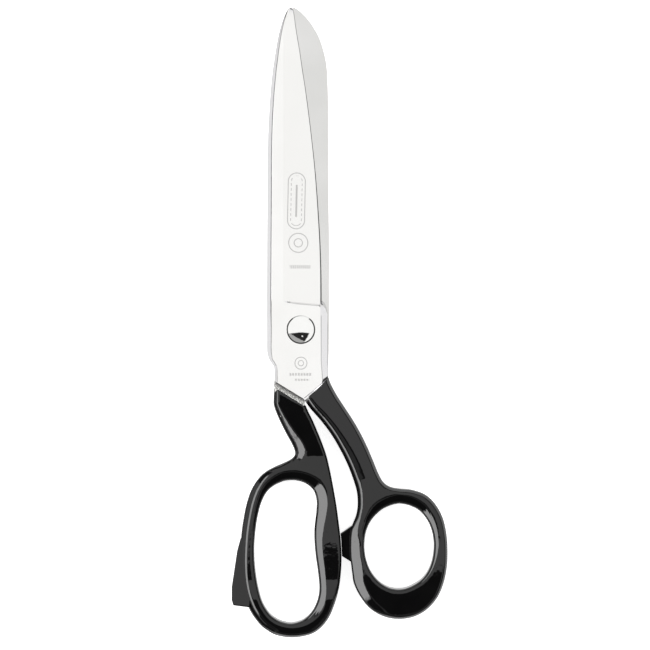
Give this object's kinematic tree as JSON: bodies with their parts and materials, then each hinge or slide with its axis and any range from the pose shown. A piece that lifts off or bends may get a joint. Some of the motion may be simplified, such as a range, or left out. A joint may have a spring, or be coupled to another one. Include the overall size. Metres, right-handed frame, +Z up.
{
  "type": "fabric shears",
  "caption": "Bent-handle fabric shears with long polished blades, a domed pivot screw and black enamelled thumb and finger bows.",
  "frame": {"origin": "where the pivot axis meets the flat outer face of the nut and screw end, on the side the shears lie on", "axes": "+Y along the closed blades to their tips, +Z up along the pivot axis from the nut to the domed screw head, +X towards the thumb bow"},
  "size_m": [0.1043, 0.3049, 0.0166],
  "materials": {
    "polished_steel": "mirror-polished nickel plate over ground forged steel",
    "black_enamel": "thick glossy baked enamel",
    "screw_steel": "polished plate",
    "fastener_steel": "satin plate"
  },
  "bodies": {
    "finger_half": {"finger_blade": "polished_steel", "finger_handle_enamel": "black_enamel"},
    "thumb_half": {"thumb_blade": "polished_steel", "thumb_handle_enamel": "black_enamel", "pivot_screw": "screw_steel", "tension_washer": "fastener_steel", "pivot_nut": "fastener_steel"}
  },
  "joints": [
    {"name": "blade_pivot", "type": "hinge", "parent": "finger_half", "child": "thumb_half", "pos_m": [0, 0, 0.00885], "axis": [0, 0, 1], "range_deg": [0, 100]}
  ]
}
